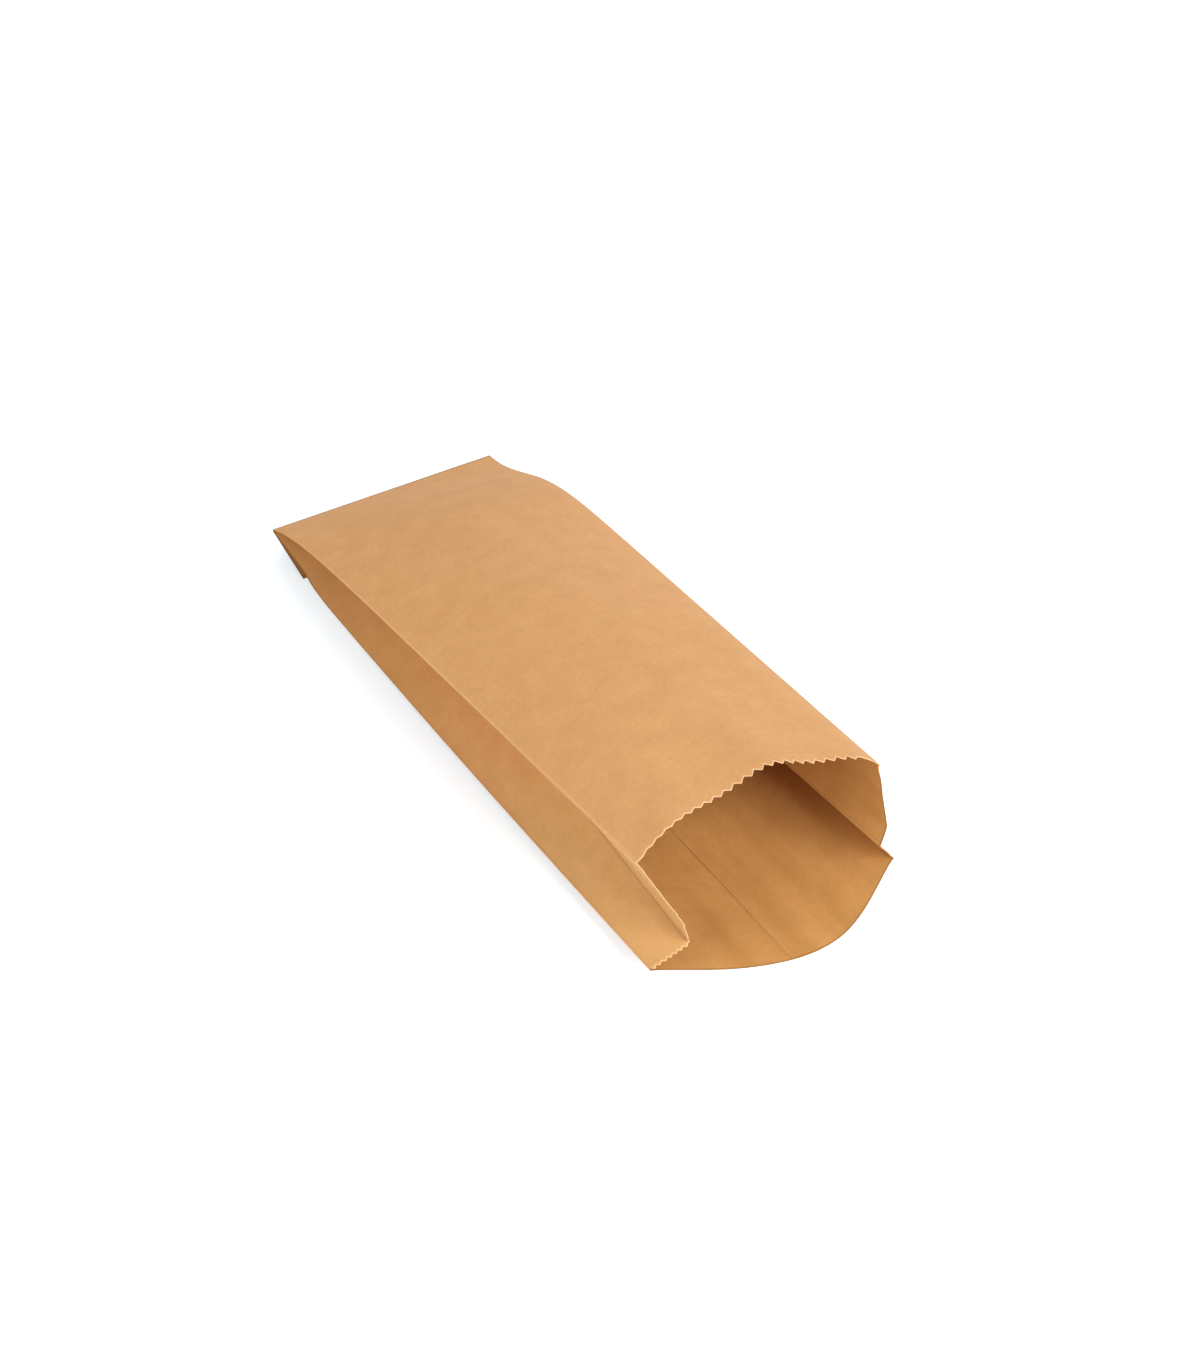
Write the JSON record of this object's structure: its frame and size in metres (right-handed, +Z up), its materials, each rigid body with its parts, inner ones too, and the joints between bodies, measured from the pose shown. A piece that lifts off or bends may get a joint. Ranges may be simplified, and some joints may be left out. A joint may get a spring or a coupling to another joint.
{
  "type": "gusseted paper bag",
  "caption": "Brown kraft paper bag with side gussets, a folded and glued pinch bottom and a zigzag-cut mouth with a lip, lying open on its back panel.",
  "frame": {"origin": "middle of the bag's box, on the surface it lies on", "axes": "+Y along the bag from its mouth to its pinched bottom, +Z up out of the front panel, +X across the panels"},
  "size_m": [0.0988, 0.2866, 0.0658],
  "materials": {
    "brown_kraft": "matt uncoated kraft"
  },
  "bodies": {
    "root": {"paper_bag": "brown_kraft"}
  },
  "joints": []
}
